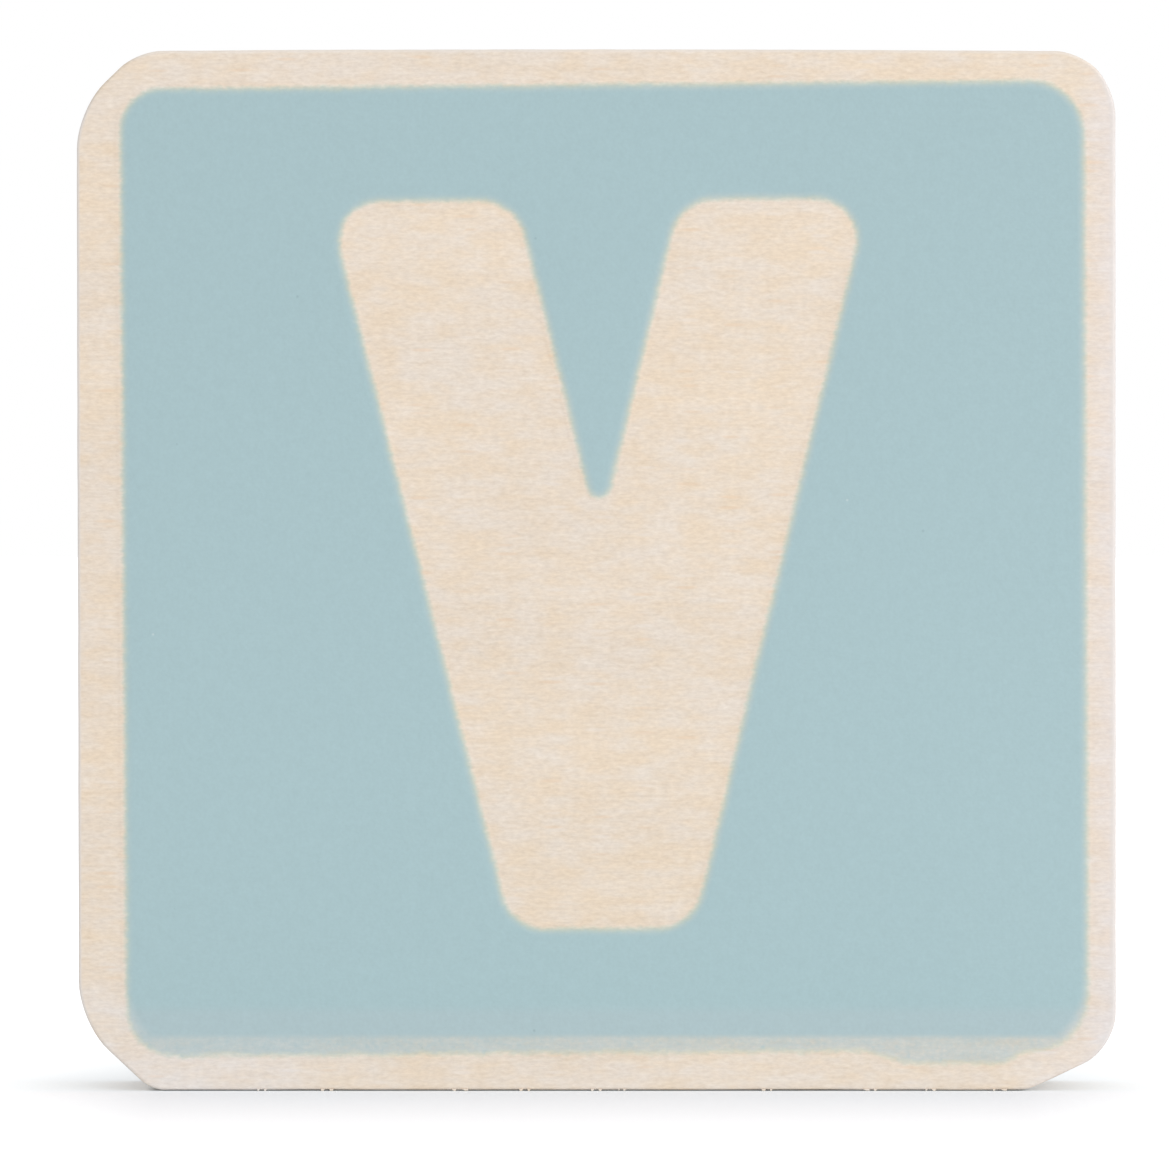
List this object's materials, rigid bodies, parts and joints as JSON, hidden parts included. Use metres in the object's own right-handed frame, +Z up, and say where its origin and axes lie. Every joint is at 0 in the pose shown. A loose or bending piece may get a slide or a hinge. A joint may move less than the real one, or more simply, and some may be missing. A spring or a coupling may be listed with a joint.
{
  "type": "wooden letter tile",
  "caption": "Flat square plywood tile with softly cut corners, a pale blue printed panel and a bare-wood block letter; the letter board of a toy letter train, standing on its bottom edge.",
  "frame": {"origin": "on the surface that the tile stands on, under the middle of its bounding box", "axes": "+Z up the tile, +X to the viewer's right when the printed face is seen, -Y out of the printed face"},
  "size_m": [0.07, 0.0122, 0.0703],
  "materials": {
    "face_veneer": "bare sanded pale veneer, fine grain across the tile",
    "back_veneer": "bare sanded pale veneer, fine grain across the tile",
    "across_grain_ply": "sawn and sanded ply edge, long grain on the top and bottom edges",
    "upright_grain_ply": "sawn and sanded ply edge, end grain on the top and bottom edges",
    "glue": "cured glue film, amber",
    "pale_ink": "thin matte screen ink, wood showing through",
    "full_ink": "matte pale blue screen ink"
  },
  "bodies": {
    "root": {"front_face_veneer": "face_veneer", "front_cross_band": "upright_grain_ply", "front_inner_ply": "across_grain_ply", "front_inner_band": "upright_grain_ply", "core_ply": "across_grain_ply", "back_inner_band": "upright_grain_ply", "back_inner_ply": "across_grain_ply", "back_cross_band": "upright_grain_ply", "back_face_veneer": "back_veneer", "glue_line_1": "glue", "glue_line_2": "glue", "glue_line_3": "glue", "glue_line_4": "glue", "glue_line_5": "glue", "glue_line_6": "glue", "glue_line_7": "glue", "glue_line_8": "glue", "ink_first_coat": "pale_ink", "ink_second_coat": "full_ink"}
  },
  "joints": []
}
